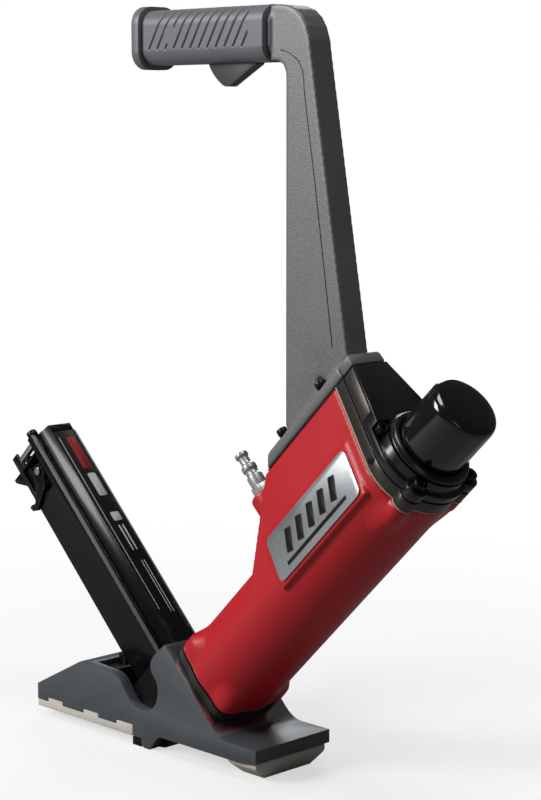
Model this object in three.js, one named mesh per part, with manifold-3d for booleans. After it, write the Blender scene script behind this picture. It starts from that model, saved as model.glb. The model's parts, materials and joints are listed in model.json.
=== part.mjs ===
// Flooring nailer, millimetres, +Z up. +X points to the toe, -Y is the near side,
// Z = 0 is the floor board's face. The sizes below count X from where the driver's axis
// meets that face, and the finished object is moved along X so that its origin is the
// middle of the rest pad's underside. The driver's axis leans 45 degrees to +X.
import * as THREE from 'three';
import { mergeVertices } from 'three/addons/utils/BufferGeometryUtils.js';
import Module from 'manifold-3d';

const wasm = await Module();
wasm.setup();

// driving dimensions
const gap = 0.3; // between pieces that touch
const lean = Math.PI / 4; // driver's axis from vertical

// foot
const footWidth = 81;
const soleZ = 6.1;
const footRear = -137.4;
const footRearHeight = 19.4;
const ridgeX = -80.2;
const ridgeZ = 49.2;
const toeEnd = 127.6;
const toeTop = 19.3;
const toeTipZ = 8.7;
const toeBevelX = 107.5;
const seatU = 75.7; // sloped seat, along the driver's axis
const seatPlate = 12; // metal under the seat
const seatRise = -41; // top corner of the seat, across the axis
const cheek = 9.4; // side wall beside the nose block
const slotRear = -70;
const slotFloorZ = 14;
const slotFront = 36;
const slotStep = 18;
const tipBack = -14.6; // face that meets the board's edge
const tipFront = -4.1;
const tipDepth = 7; // tip and hook below the board's face

// pads
const padTabX = [-123.5, -77.1, -35];
const padTabLength = 19;
const padTabZ = 9.2;
const padTabDeep = 3;
const glideLength = 32;
const glideInset = 2; // from the toe's end
const glideHalf = 38;
const glideBottom = -7;

// driver housing
const housingBase = 83;
const tubeRadius = 38;
const collarHeight = 15;
const lobeReach = 8;
const housingEnd = 344.4;
const flangeSeatV = 79.9; // housing's top face, above the axis
const flangeHalf = 17.4;
const tankRearX = 114.5;
const boreRadius = tubeRadius - 6;
const boreFloor = 95;
const housingWall = 4.5;
const driverHole = 14;
const portU = 216;
const portRadius = 13;
const portTop = 78;
const portHole = 7;

// driver parts
const linerRadius = boreRadius - 4;
const linerWall = 2.5;
const linerTop = housingEnd - 44.4;
const pistonBottom = linerTop - 54;
const pistonThick = 14;
const bladeTip = 92;
const bladeWide = 9;
const bladeThick = 3.2;
const bumperHeight = 48;
const valveBottom = housingEnd - 28.4;

// head
const gasketThick = 1;
const headPlateThick = 9;
const midGasketThick = 1.9;
const upperPlateThick = 10.7;
const coverThick = 1.8;
const coverEndV = -40;
const headFloorThick = 5;
const boltRing = boreRadius + 4.8; // head bolts' circle
const boltAngle = 0.8238;
const headBoltV = boltRing * Math.cos(boltAngle);
const headBoltY = boltRing * Math.sin(boltAngle);
const lobeRadius = 8.5;
const headBossRadius = tubeRadius - 4;
const capRadius = tubeRadius - 11.4;
const capTop = housingEnd + 77.6;
const capWall = 4;
const collarThick = 3.8;

// handle
const flangeThick = 9.4;
const flangeRearX = 116.5;
const flangeSplitU = housingEnd + 11.8;
const heelEndU = housingEnd + 25.6;
const postHalf = 11.5;
const postRearX = 129.9;
const postFrontX = 156; // at postFrontZ
const postFrontZ = 539.3;
const postRake = 0.1727; // front face runs out by this much for each mm down
const gripZ = 556.5;
const gripHalfHeight = 21.1;
const gripHalfWidth = 17.5;
const gripWall = 3.8;
const gripStart = -22.7;
const gripEnd = 112;
const endCapLength = 10;
const endCapLip = 3.4;
const triggerHalf = 4.5;
const triggerPivotX = 44;
const triggerPivotZ = 545;
const triggerPinRadius = 2;
const triggerPinHalf = gripHalfWidth - gripWall - 2.9;

// magazine, running away from the driver's axis
const magazineNear = -44.3;
const magazineEnd = -276;
const magazineTop = 57.3;
const magazineTopHalf = 11.8;
const coverBottom = 32;
const sideFlangeHalf = 24.3;
const sideFlangeTop = 46;
const sideFlangeBottom = 39.5;
const grooveFloor = 44.4; // beside the cover's walls
const railHalf = 12;
const railWall = 2.5;
const railBottom = -3.5;
const cleatHalf = 6;
const pusherHome = -273;
const pusherLength = 34;

// fasteners
const boltClear = 0.3;
const smallBolt = 2;
const boltHeadRadius = 4.3;
const largeBolt = 2.6;

// materials
function finish(color, roughness, metalness) {
  return new THREE.MeshStandardMaterial({ color, roughness, metalness });
}

const looks = {
  red: () => finish(0xa81c24, 0.45, 0.1),
  castGray: () => finish(0x5a5c60, 0.6, 0.35),
  slate: () => finish(0x4c5258, 0.45, 0.5),
  blackSteel: () => finish(0x0c0c0e, 0.4, 0.6),
  blackPlastic: () => finish(0x0d0d0f, 0.3, 0),
  rubber: () => finish(0x18181a, 0.8, 0),
  steel: () => finish(0xb4b6b8, 0.35, 1),
  bronzeGray: () => finish(0x857a72, 0.4, 0.8),
  pale: () => finish(0xc6bfb6, 0.7, 0),
  cream: () => finish(0xd8c6a8, 0.8, 0),
  plate: () => finish(0xaab2b6, 0.35, 0.9),
  brass: () => finish(0xb08d4a, 0.4, 0.9),
};

// solids
function solidOf(geometry) {
  const bare = geometry.clone();
  bare.deleteAttribute('normal');
  bare.deleteAttribute('uv');
  const merged = mergeVertices(bare, 1e-4);
  const source = merged.index.array;
  const triangles = [];
  for (let i = 0; i < source.length; i += 3) {
    const [a, b, c] = [source[i], source[i + 1], source[i + 2]];
    if (a !== b && b !== c && c !== a) triangles.push(a, b, c);
  }
  return new wasm.Manifold(new wasm.Mesh({
    numProp: 3,
    vertProperties: new Float32Array(merged.attributes.position.array),
    triVerts: new Uint32Array(triangles),
  }));
}

function geometryOf(solid) {
  const mesh = solid.getMesh();
  const geometry = new THREE.BufferGeometry();
  geometry.setAttribute('position', new THREE.BufferAttribute(new Float32Array(mesh.vertProperties), 3));
  geometry.setIndex(new THREE.BufferAttribute(new Uint32Array(mesh.triVerts), 1));
  geometry.computeVertexNormals();
  return geometry;
}

function join(...solids) {
  return solids.reduce((sum, next) => sum.add(next));
}

function cut(base, ...tools) {
  return tools.reduce((rest, tool) => rest.subtract(tool), base);
}

function boxGeometry(x0, x1, y0, y1, z0, z1) {
  const geometry = new THREE.BoxGeometry(x1 - x0, y1 - y0, z1 - z0);
  geometry.translate((x0 + x1) / 2, (y0 + y1) / 2, (z0 + z1) / 2);
  return geometry;
}

function box(...limits) {
  return solidOf(boxGeometry(...limits));
}

// a round bar along Z, centred on (x, y)
function barGeometry(radius, x, y, z0, z1, sides = 24) {
  const geometry = new THREE.CylinderGeometry(radius, radius, z1 - z0, sides);
  geometry.rotateX(Math.PI / 2);
  geometry.translate(x, y, (z0 + z1) / 2);
  return geometry;
}

function bar(...sizes) {
  return solidOf(barGeometry(...sizes));
}

// a round bar along X from x0 to x1
function crossBar(radius, x0, x1, y, z, sides = 24) {
  const geometry = new THREE.CylinderGeometry(radius, radius, x1 - x0, sides);
  geometry.rotateZ(Math.PI / 2);
  geometry.translate((x0 + x1) / 2, y, z);
  return solidOf(geometry);
}

// a round bar along Y
function pinBar(radius, x, z, y0, y1, sides = 16) {
  const geometry = new THREE.CylinderGeometry(radius, radius, y1 - y0, sides);
  geometry.translate(x, (y0 + y1) / 2, z);
  return solidOf(geometry);
}

// an outline across Z, from z0 to z1
function slab(shape, z0, z1, curveSegments = 24) {
  const geometry = new THREE.ExtrudeGeometry(shape, { depth: z1 - z0, bevelEnabled: false, curveSegments });
  geometry.translate(0, 0, z0);
  return solidOf(geometry);
}

// a side view in X and Z, from -half to half across Y
function sideSlab(shape, half, curveSegments = 6) {
  const geometry = new THREE.ExtrudeGeometry(shape, { depth: 2 * half, bevelEnabled: false, curveSegments });
  geometry.rotateX(Math.PI / 2);
  geometry.translate(0, half, 0);
  return solidOf(geometry);
}

// an end view in Y and Z, from x0 to x1
function endSlab(shape, x0, x1, curveSegments = 6) {
  const geometry = new THREE.ExtrudeGeometry(shape, { depth: x1 - x0, bevelEnabled: false, curveSegments });
  geometry.rotateX(Math.PI / 2);
  geometry.rotateZ(Math.PI / 2);
  geometry.translate(x0, 0, 0);
  return solidOf(geometry);
}

function outline(points) {
  return new THREE.Shape(points.map(([x, y]) => new THREE.Vector2(x, y)));
}

function roundedRect(halfX, halfY, radius) {
  const shape = new THREE.Shape();
  shape.absarc(halfX - radius, halfY - radius, radius, 0, Math.PI / 2);
  shape.absarc(radius - halfX, halfY - radius, radius, Math.PI / 2, Math.PI);
  shape.absarc(radius - halfX, radius - halfY, radius, Math.PI, 1.5 * Math.PI);
  shape.absarc(halfX - radius, radius - halfY, radius, 1.5 * Math.PI, 2 * Math.PI);
  return shape;
}

// a profile of [radius, z] turned about Z
function turned(profile, sides = 40) {
  const geometry = new THREE.LatheGeometry(profile.map(([r, z]) => new THREE.Vector2(r, z)), sides);
  geometry.rotateX(Math.PI / 2);
  return solidOf(geometry);
}

// rings of equal point counts, given as [z, radiusAt(angle)], skinned and capped
function loft(rings, sides = 64) {
  const positions = [];
  const index = [];
  rings.forEach(([z, radiusAt]) => {
    for (let i = 0; i < sides; i += 1) {
      const angle = (2 * Math.PI * i) / sides;
      const radius = radiusAt(angle);
      positions.push(radius * Math.cos(angle), radius * Math.sin(angle), z);
    }
  });
  for (let k = 0; k + 1 < rings.length; k += 1) {
    for (let i = 0; i < sides; i += 1) {
      const a = k * sides + i;
      const b = k * sides + ((i + 1) % sides);
      index.push(a, b, b + sides, a, b + sides, a + sides);
    }
  }
  const bottom = positions.length / 3;
  positions.push(0, 0, rings[0][0]);
  positions.push(0, 0, rings[rings.length - 1][0]);
  const last = (rings.length - 1) * sides;
  for (let i = 0; i < sides; i += 1) {
    const next = (i + 1) % sides;
    index.push(bottom, next, i, bottom + 1, last + i, last + next);
  }
  const geometry = new THREE.BufferGeometry();
  geometry.setAttribute('position', new THREE.Float32BufferAttribute(positions, 3));
  geometry.setIndex(index);
  return solidOf(geometry);
}

class Helix extends THREE.Curve {
  constructor(radius, z0, z1, turns, x, y) {
    super();
    Object.assign(this, { radius, z0, z1, turns, x, y });
  }

  getPoint(t, target = new THREE.Vector3()) {
    const angle = 2 * Math.PI * this.turns * t;
    const z = this.z0 + (this.z1 - this.z0) * t;
    return target.set(this.x + this.radius * Math.cos(angle), this.y + this.radius * Math.sin(angle), z);
  }
}

function coil(radius, wire, z0, z1, turns, x = 0, y = 0) {
  const path = new Helix(radius, z0 + wire, z1 - wire, turns, x, y);
  const section = new THREE.Shape();
  section.absarc(0, 0, wire, 0, 2 * Math.PI);
  const steps = Math.round(turns * 12);
  const geometry = new THREE.ExtrudeGeometry(section, { steps, extrudePath: path, curveSegments: 6 });
  return solidOf(geometry);
}

// turns a geometry of the driver's frame into the row's, and back
function toRow(geometry) {
  geometry.rotateY(lean);
  return solidOf(geometry);
}

function toDriver(geometry) {
  geometry.rotateY(-lean);
  return solidOf(geometry);
}

const object = new THREE.Group();
const driverFrame = new THREE.Group(); // local X runs down the seat, local Z up the driver's axis
driverFrame.rotation.y = lean;
object.add(driverFrame);

function place(parent, name, solid, material) {
  const mesh = new THREE.Mesh(geometryOf(solid), material());
  mesh.name = name;
  parent.add(mesh);
}

// a point of the driver's frame, across v and along u, as [x, z] of the row
function rowPoint(v, u) {
  return [(u + v) * Math.SQRT1_2, (u - v) * Math.SQRT1_2];
}

// foot
const footHalf = footWidth / 2;
const slotHalf = footHalf - cheek;
const seatUnder = seatU - seatPlate;
const padTabSpans = padTabX.map((x, i) => [x, i === 2 ? tipBack - gap : x + padTabLength]);
const footBoltY = slotHalf - 5.6;
const footBolts = [-28, 28].flatMap((v) => [[v, -footBoltY], [v, footBoltY]]);
const boltSink = 52; // head seats of the two front foot bolts

function footShape() {
  const [crestX, crestZ] = rowPoint(seatRise, seatU);
  const seatLow = seatU * Math.SQRT2 - 27.3;
  const shape = new THREE.Shape();
  shape.moveTo(footRear, soleZ);
  shape.lineTo(tipBack, soleZ);
  shape.lineTo(tipBack, 0.5);
  shape.lineTo(tipFront, 0.5);
  shape.lineTo(tipFront, 3 - tipDepth);
  shape.quadraticCurveTo(-2.6, -tipDepth, 1, -tipDepth);
  shape.lineTo(5.5, -tipDepth);
  shape.lineTo(13, 2);
  shape.quadraticCurveTo(15.5, soleZ, 20, soleZ);
  shape.lineTo(toeBevelX, soleZ);
  shape.lineTo(toeEnd, toeTipZ);
  shape.lineTo(toeEnd, toeTop);
  shape.lineTo(97, toeTop);
  shape.quadraticCurveTo(88, toeTop, seatLow, 27.3);
  shape.lineTo(crestX, crestZ);
  shape.lineTo(12, 71.8);
  shape.quadraticCurveTo(3.5, 62, 11.5, 54.3);
  shape.quadraticCurveTo(16.4, 50.5, 16.4, 43);
  shape.quadraticCurveTo(15, 23.9, -3.5, 23.9);
  shape.quadraticCurveTo(-13.5, 23.9, -18.5, 29.2);
  shape.lineTo(-27, 39.5);
  shape.quadraticCurveTo(-32, 47.4, -43, ridgeZ - 1.4);
  shape.lineTo(ridgeX, ridgeZ);
  shape.lineTo(footRear, footRearHeight);
  return shape;
}

function slotShape(inset) {
  const frontTop = seatUnder * Math.SQRT2 - slotFront;
  return outline([
    [slotRear + inset, 140], [slotRear + inset, slotFloorZ + slotStep + inset],
    [slotRear + slotStep + inset, slotFloorZ + inset], [tipBack + inset, slotFloorZ + inset],
    [tipBack + inset, -20], [slotFront - inset, -20],
    [slotFront - inset, frontTop - inset], [seatUnder * Math.SQRT2 - 140 - inset, 140],
  ]);
}

function buildFoot() {
  const body = sideSlab(footShape(), footHalf);
  const tools = [sideSlab(slotShape(0), slotHalf)];
  tools.push(toRow(barGeometry(12, 0, 0, seatUnder - 20, seatU + 5, 32)));
  footBolts.forEach(([v, y]) => {
    tools.push(toRow(barGeometry(largeBolt + boltClear, v, y, 30, seatU + 5, 16)));
    if (v > 0) tools.push(toRow(barGeometry(5.5, v, y, 20, boltSink, 20)));
  });
  padTabSpans.forEach(([x0, x1]) => {
    [-1, 1].forEach((side) => {
      const y = [side * (footHalf - padTabDeep - gap), side * (footHalf + 1)].sort((a, b) => a - b);
      tools.push(box(x0 - gap, Math.min(x1 + gap, tipBack - 0.01), ...y, soleZ - 1, padTabZ + gap));
    });
  });
  return cut(body, ...tools);
}

function buildPad() {
  const plate = box(footRear, tipBack - gap, -footHalf, footHalf, 0, soleZ - gap);
  const tabs = [];
  padTabSpans.forEach(([x0, x1]) => {
    tabs.push(box(x0, x1, footHalf - padTabDeep, footHalf, 1, padTabZ));
    tabs.push(box(x0, x1, -footHalf, padTabDeep - footHalf, 1, padTabZ));
  });
  return join(plate, ...tabs);
}

function buildGlide() {
  const front = toeEnd - glideInset;
  const rise = ((toeTipZ - soleZ) * (front - toeBevelX)) / (toeEnd - toeBevelX);
  const side = outline([
    [front - glideLength, soleZ - gap], [front - glideLength + 4, glideBottom], [front - 4, glideBottom],
    [front, glideBottom + 8], [front, soleZ + rise - gap - 0.1], [toeBevelX, soleZ - gap - 0.1],
  ]);
  const end = outline([
    [-glideHalf, 20], [-glideHalf, soleZ - 3], [-glideHalf + 13, glideBottom - 0.1],
    [glideHalf - 13, glideBottom - 0.1], [glideHalf, soleZ - 3], [glideHalf, 20],
  ]);
  return sideSlab(side, glideHalf + 1).intersect(endSlab(end, front - glideLength - 5, front + 5));
}

function buildNose() {
  const [shelfX, shelfZ] = rowPoint(magazineNear + gap, railBottom - gap);
  const [topX, topZ] = rowPoint(magazineNear + gap, 54);
  const shelfTop = 45.5;
  const right = slotFront - gap;
  const shape = outline([
    [slotRear + gap, slotFloorZ + slotStep + gap], [slotRear + slotStep + gap, slotFloorZ + gap],
    [tipBack + gap, slotFloorZ + gap], [tipBack + gap, gap - tipDepth], [6, gap - tipDepth], [14, -5.6],
    [29, 1], [right, 2.6], [right, topX + topZ - right], [topX, topZ], [shelfX, shelfZ],
    [shelfX + shelfZ - shelfTop, shelfTop], [slotRear + gap, shelfTop],
  ]);
  const body = sideSlab(shape, slotHalf - gap);
  const tip = box(tipBack, tipFront - gap, -footHalf, footHalf, gap - tipDepth, -0.2);
  const lug = box(slotRear + 1, slotRear + 9, -8, 8, shelfTop - 2, shelfTop + 7);
  const half = bladeThick / 2 + gap;
  const channel = toRow(boxGeometry(magazineNear - 40, bladeWide / 2 + gap, -half, half, -25, 80));
  return cut(join(body, tip, lug), channel);
}

// housing
const lobed = (base, reach) => (angle) => base + reach * Math.abs(Math.sin(2 * angle)) ** 6;

// tube with two straight sides that meet the handle's flange
function bodyShape(grow) {
  const radius = tubeRadius + grow;
  const half = flangeHalf + grow;
  const reach = Math.hypot(flangeSeatV, half);
  const touch = Math.PI - Math.atan2(half, flangeSeatV) - Math.acos(radius / reach);
  const shape = new THREE.Shape();
  shape.absarc(0, 0, radius, -touch, touch);
  shape.lineTo(-flangeSeatV, half);
  shape.lineTo(-flangeSeatV, -half);
  return shape;
}

function headSlab(z0, z1, grow) {
  const lobes = [-headBoltY, headBoltY].map((y) => bar(lobeRadius + grow, headBoltV, y, z0, z1, 24));
  return join(slab(bodyShape(grow), z0, z1), ...lobes);
}

const headBolts = [-headBoltV, headBoltV].flatMap((v) => [[v, -headBoltY], [v, headBoltY]]);
const boltEnd = housingEnd - 19.4; // lower end of the head bolts

// a flat plate lying on the housing's near straight side, from r0 to r1 out from the axis
function sidePlateGeometry(v0, v1, u0, u1, r0, r1) {
  const geometry = boxGeometry(v0, v1, -r1, -r0, u0, u1);
  const reach = Math.hypot(flangeSeatV, flangeHalf);
  const touch = Math.PI - Math.atan2(flangeHalf, flangeSeatV) - Math.acos(tubeRadius / reach);
  geometry.rotateZ(Math.PI / 2 - touch);
  return geometry;
}

const plateV = [-27, 13];
const plateU = [housingEnd - 124.4, housingEnd - 13.4];
const plateThick = 1.2;
const platePad = tubeRadius + 1;

function tankPocket() {
  const pocket = outline([
    [-flangeSeatV + housingWall, -13.5], [-flangeSeatV + housingWall, 13.5], [-38, 24], [-38, -24],
  ]);
  return slab(pocket, housingEnd - 78.4, housingEnd + 10);
}

function buildHousing() {
  const collarTop = housingBase + collarHeight;
  const round = (radius) => () => radius;
  const collar = loft([
    [housingBase, lobed(tubeRadius - 3, lobeReach)], [housingBase + 3, lobed(tubeRadius - 0.5, lobeReach)],
    [collarTop, lobed(tubeRadius - 0.5, lobeReach - 0.5)], [collarTop + 14, round(tubeRadius - 0.4)],
  ]);
  const tube = bar(tubeRadius, 0, 0, housingBase + 4, housingEnd, 64);
  const tank = cut(
    slab(bodyShape(0), 170, housingEnd),
    toDriver(boxGeometry(-200, tankRearX, -60, 60, -100, 400)),
  );
  const bossLow = housingEnd - 38.4;
  const lobe = (angle) => {
    const off = (Math.abs(Math.atan2(Math.sin(angle), Math.cos(angle))) - boltAngle) / 0.25;
    return tubeRadius - 0.6 + 6.6 * Math.exp(-off * off);
  };
  const bosses = loft([[bossLow, round(tubeRadius - 0.6)], [bossLow + 24, lobe], [housingEnd - 4, lobe]]);
  const body = join(
    collar, tube, tank, bosses, headSlab(housingEnd - 10, housingEnd, 0),
    crossBar(portRadius, -portTop, -20, 0, portU, 32),
    solidOf(sidePlateGeometry(plateV[0] - 3, plateV[1] + 3, plateU[0] - 3, plateU[1] + 3, 30, platePad)),
  );
  const tools = [
    bar(boreRadius, 0, 0, boreFloor, housingEnd + 10, 48),
    bar(driverHole, 0, 0, housingBase - 5, boreFloor + 5, 32),
    crossBar(portHole, -portTop - 5, -20, 0, portU, 24),
    tankPocket(),
    box(-42, -20, -9, 9, housingEnd - 64.4, housingEnd - 12.4),
  ];
  headBolts.forEach(([v, y]) => {
    tools.push(bar(largeBolt + boltClear, v, y, boltEnd - 1, housingEnd + 5, 14));
  });
  footBolts.forEach(([v, y]) => tools.push(bar(largeBolt + boltClear, v, y, housingBase - 5, 96, 14)));
  handleBolts.forEach(([u, y]) => {
    tools.push(crossBar(smallBolt + boltClear, -flangeSeatV - 5, -71.5, y, u, 14));
  });
  return cut(body, ...tools);
}

function buildNameplate() {
  const inner = platePad + gap;
  return solidOf(sidePlateGeometry(...plateV, ...plateU, inner, inner + plateThick));
}

function buildBasePlate() {
  const body = loft([[seatU + gap, lobed(36.5, lobeReach)], [housingBase - gap, lobed(36.5, lobeReach)]]);
  const tools = footBolts.map(([v, y]) => bar(largeBolt + boltClear, v, y, seatU - 5, housingBase + 5, 14));
  return cut(body, bar(driverHole, 0, 0, seatU - 5, housingBase + 5, 32), ...tools);
}

// air inlet, along -X of the driver's frame
function inletTurned(profile, sides) {
  const geometry = new THREE.LatheGeometry(profile.map(([r, t]) => new THREE.Vector2(r, t)), sides);
  geometry.rotateZ(Math.PI / 2);
  geometry.translate(0, 0, portU);
  return solidOf(geometry);
}

function inletBar(radius, t0, t1, sides) {
  return inletTurned([[0, t0], [radius, t0], [radius, t1], [0, t1]], sides);
}

function buildBushing() {
  const hex = inletBar(8.6, portTop + gap, portTop + 8, 6);
  const stem = inletBar(portHole - gap, portTop - 22, portTop + 2, 24);
  return cut(join(hex, stem), inletBar(4.5, 50, portTop + 12, 20));
}

function buildPlug() {
  const base = portTop + 8 + gap;
  const body = inletTurned([
    [0, base], [6.6, base], [6.6, base + 9], [5.2, base + 11], [5.2, base + 14], [6.2, base + 15.5],
    [6.2, base + 19], [4.2, base + 21], [4.2, base + 27], [5.4, base + 28], [5.4, base + 31], [0, base + 31],
  ], 24);
  const stem = inletBar(4.2, base - 7, base + 1, 20);
  return cut(join(body, stem), inletBar(2.4, base - 10, base + 40, 16));
}

// inside the housing
function buildLiner() {
  const outer = linerRadius + linerWall;
  const low = boreFloor + gap;
  return turned([
    [linerRadius, low], [outer, low], [outer, linerTop - 6], [boreRadius - gap, linerTop - 6],
    [boreRadius - gap, linerTop], [linerRadius, linerTop], [linerRadius, low],
  ], 48);
}

function buildBumper() {
  const low = boreFloor + gap;
  const high = low + bumperHeight;
  const hole = 7;
  const outer = linerRadius - gap;
  return turned([
    [hole, low], [outer, low], [outer, low + 14], [outer - 4, low + 22], [outer - 4, high - 10],
    [outer - 8, high], [hole, high], [hole, low],
  ], 40);
}

function buildPiston() {
  const top = pistonBottom + pistonThick;
  const outer = linerRadius - gap;
  const groove = outer - 3;
  return turned([
    [0, pistonBottom], [18, pistonBottom], [outer, pistonBottom + 4], [outer, pistonBottom + 6],
    [groove, pistonBottom + 6], [groove, pistonBottom + 10], [outer, pistonBottom + 10], [outer, top],
    [16, top], [14, top - 3], [0, top - 3],
  ], 48);
}

function buildPistonSeal() {
  const low = pistonBottom + 6 + gap;
  const high = pistonBottom + 10 - gap;
  const inner = linerRadius - gap - 3 + gap;
  const outer = linerRadius - 0.1;
  return turned([[inner, low], [outer, low], [outer, high], [inner, high], [inner, low]], 48);
}

function buildBlade() {
  return box(-bladeWide / 2, bladeWide / 2, -bladeThick / 2, bladeThick / 2, bladeTip, pistonBottom - gap);
}

function buildValve() {
  const outer = boreRadius - gap;
  const bore = 5.5;
  const top = housingEnd - 1;
  return turned([
    [bore, valveBottom], [outer - 8, valveBottom], [outer - 4, valveBottom + 6], [outer, valveBottom + 6],
    [outer, top], [22, top], [18, top - 14], [bore, top - 14], [bore, valveBottom],
  ], 48);
}

// head
const gasketLow = housingEnd + gap;
const gasketHigh = gasketLow + gasketThick;
const headPlateLow = gasketHigh + gap;
const headPlateHigh = headPlateLow + headPlateThick;
const midGasketLow = headPlateHigh + gap;
const midGasketHigh = midGasketLow + midGasketThick;
const upperLow = midGasketHigh + gap;
const upperHigh = upperLow + upperPlateThick;
const headFloor = upperLow + headFloorThick;
const coverTop = upperHigh + gap + coverThick;
const stemRadius = 5;

function headHoles(z0, z1) {
  return headBolts.map(([v, y]) => bar(largeBolt + boltClear, v, y, z0 - 5, z1 + 5, 14));
}

function buildHeadSheet(z0, z1, grow) {
  return cut(headSlab(z0, z1, grow), bar(29, 0, 0, z0 - 5, z1 + 5, 40), ...headHoles(z0, z1));
}

function buildUpperPlate() {
  const plate = slab(bodyShape(0), upperLow, upperHigh);
  return cut(
    plate,
    box(coverEndV - gap, 80, -80, 80, upperLow - 1, upperHigh + 1),
    box(-68, coverEndV - 8, -10, 10, upperLow - 1, upperHigh - 3),
  );
}

function buildHeadCap() {
  const boss = bar(headBossRadius, 0, 0, upperLow - 5, coverTop + 5, 48);
  const room = cut(box(-30, 80, -80, 80, headFloor, coverTop + 5), boss);
  const body = cut(
    slab(bodyShape(0), upperLow, coverTop),
    box(-120, coverEndV, -80, 80, upperLow - 5, upperHigh + gap),
    room,
  );
  const lobes = headBolts.slice(2).map(([v, y]) => bar(lobeRadius, v, y, upperLow, headFloor + 1.6, 24));
  const tools = [
    bar(capRadius + 0.9, 0, 0, headFloor, coverTop + 5, 48),
    bar(stemRadius + 0.5, 0, 0, upperLow - 5, headFloor + 5, 20),
  ];
  headBolts.forEach(([v, y]) => tools.push(bar(5.6, v, y, headFloor + 1.6, coverTop + 5, 20)));
  return cut(join(body, ...lobes), ...tools, ...headHoles(upperLow, headFloor));
}

function buildCapCollar() {
  const low = coverTop + 0.8 + gap;
  const high = low + collarThick;
  const inner = capRadius + 0.6;
  return turned([[inner, low], [33, low], [33, low + 1.4], [31, high], [inner, high], [inner, low]], 48);
}

const capSkirt = coverTop + 1.4;
const capInside = capTop - 7;

function buildCap() {
  const inner = capRadius - capWall;
  return turned([
    [inner, capSkirt], [capRadius, capSkirt], [capRadius, capTop - 4.5], [capRadius - 1.3, capTop - 1.6],
    [capRadius - 4.5, capTop - 0.4], [12, capTop], [0, capTop], [0, capInside - 14],
    [7, capInside - 14], [7, capInside], [inner, capInside], [inner, capSkirt],
  ], 56);
}

function buildStem() {
  const top = capInside - 14 - gap;
  const disc = valveBottom - 4;
  return turned([
    [0, disc - 4], [12, disc - 4], [12, disc], [stemRadius, disc + 1.5], [stemRadius, top], [0, top],
  ], 24);
}

function buildStrikeSpring() {
  return coil(capRadius - capWall - 7.6, 1.3, headFloor + gap, capInside - gap, 6);
}

// handle
const flangeLow = flangeSeatV + gap + 0.6 + gap; // above the flange gasket
const flangeTop = flangeLow + flangeThick;
const handleBoltY = flangeHalf - 4.2;
const handleBoltU = [housingEnd - 68.4, housingEnd - 12.9];
const handleBolts = handleBoltU.flatMap((u) => [[u, -handleBoltY], [u, handleBoltY]]);
const postFrontAt = (z) => postFrontX + (postFrontZ - z) * postRake;

function flangeShape() {
  const bevel = 1.8;
  return outline([
    [-flangeLow, -flangeHalf], [-flangeLow, flangeHalf], [bevel - flangeTop, flangeHalf],
    [-flangeTop, flangeHalf - bevel], [-flangeTop, bevel - flangeHalf], [bevel - flangeTop, -flangeHalf],
  ]);
}

function postShape(inset) {
  const rear = postRearX + inset;
  const under = gripZ - gripHalfHeight + 0.6 + inset;
  const over = gripZ + gripHalfHeight - 0.6 - inset;
  const middle = (flangeLow + flangeTop) / 2;
  const bottomFront = (postFrontX + (postFrontZ - middle * Math.SQRT2) * postRake) / (1 + postRake) - inset;
  const shape = new THREE.Shape();
  shape.moveTo(rear, rear + middle * Math.SQRT2);
  shape.lineTo(bottomFront, bottomFront + middle * Math.SQRT2);
  shape.lineTo(postFrontX - inset, postFrontZ);
  shape.quadraticCurveTo(postFrontX - 3 - inset, over, postFrontX - 34, over);
  shape.lineTo(gripEnd + 1.5, over);
  shape.lineTo(gripEnd + 1.5, under);
  shape.lineTo(rear - 12, under);
  shape.quadraticCurveTo(rear, under, rear, under - 13);
  return shape;
}

function coreShape(shrink) {
  const wall = gripWall + shrink;
  return roundedRect(gripHalfWidth - wall, gripHalfHeight - wall, 9);
}

// a rounded section in Y and Z about the grip's axis, from x0 to x1
function gripBar(shape, x0, x1) {
  const depth = x1 - x0;
  const geometry = new THREE.ExtrudeGeometry(shape, { depth, bevelEnabled: false, curveSegments: 8 });
  geometry.rotateX(Math.PI / 2);
  geometry.rotateZ(Math.PI / 2);
  geometry.translate(x0, 0, gripZ);
  return solidOf(geometry);
}

function postDuct() {
  const shape = outline([
    [postRearX + 6, 200], [186, 290], [postFrontAt(320) - 9, 320], [postFrontAt(505) - 8, 505],
    [postRearX + 6, 505],
  ]);
  return sideSlab(shape, postHalf - 4);
}

function buildHandle() {
  const flange = slab(flangeShape(), 200, flangeSplitU);
  const rearCut = toDriver(boxGeometry(-300, flangeRearX, -60, 60, -100, 500));
  const row = (solid) => solidOf(geometryOf(solid).rotateY(lean));
  const heelRoom = toRow(boxGeometry(-flangeTop - gap, 0, -60, 60, flangeSplitU, heelEndU + 50));
  const post = sideSlab(postShape(0), postHalf);
  const core = gripBar(coreShape(gap), gripStart - 12, gripEnd + 3);
  const slot = box(34, 96, -triggerHalf - 0.5, triggerHalf + 0.5, 500, gripZ - 0.5);
  const pin = pinBar(triggerPinRadius + 0.2, triggerPivotX, triggerPivotZ, -30, 30);
  const body = cut(join(row(cut(flange, rearCut)), post, core), heelRoom, postDuct(), slot, pin);
  const holes = handleBolts.map(([u, y]) => solidOf(geometryOf(join(
    crossBar(smallBolt + boltClear, -flangeTop - 5, -flangeLow + 5, y, u, 14),
    crossBar(boltHeadRadius + boltClear, -flangeTop - 9, -flangeTop, y, u, 20),
  )).rotateY(lean)));
  return cut(body, ...holes, pinBar(1.8, 10.5, gripZ + 1, -30, 0, 12));
}

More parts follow.
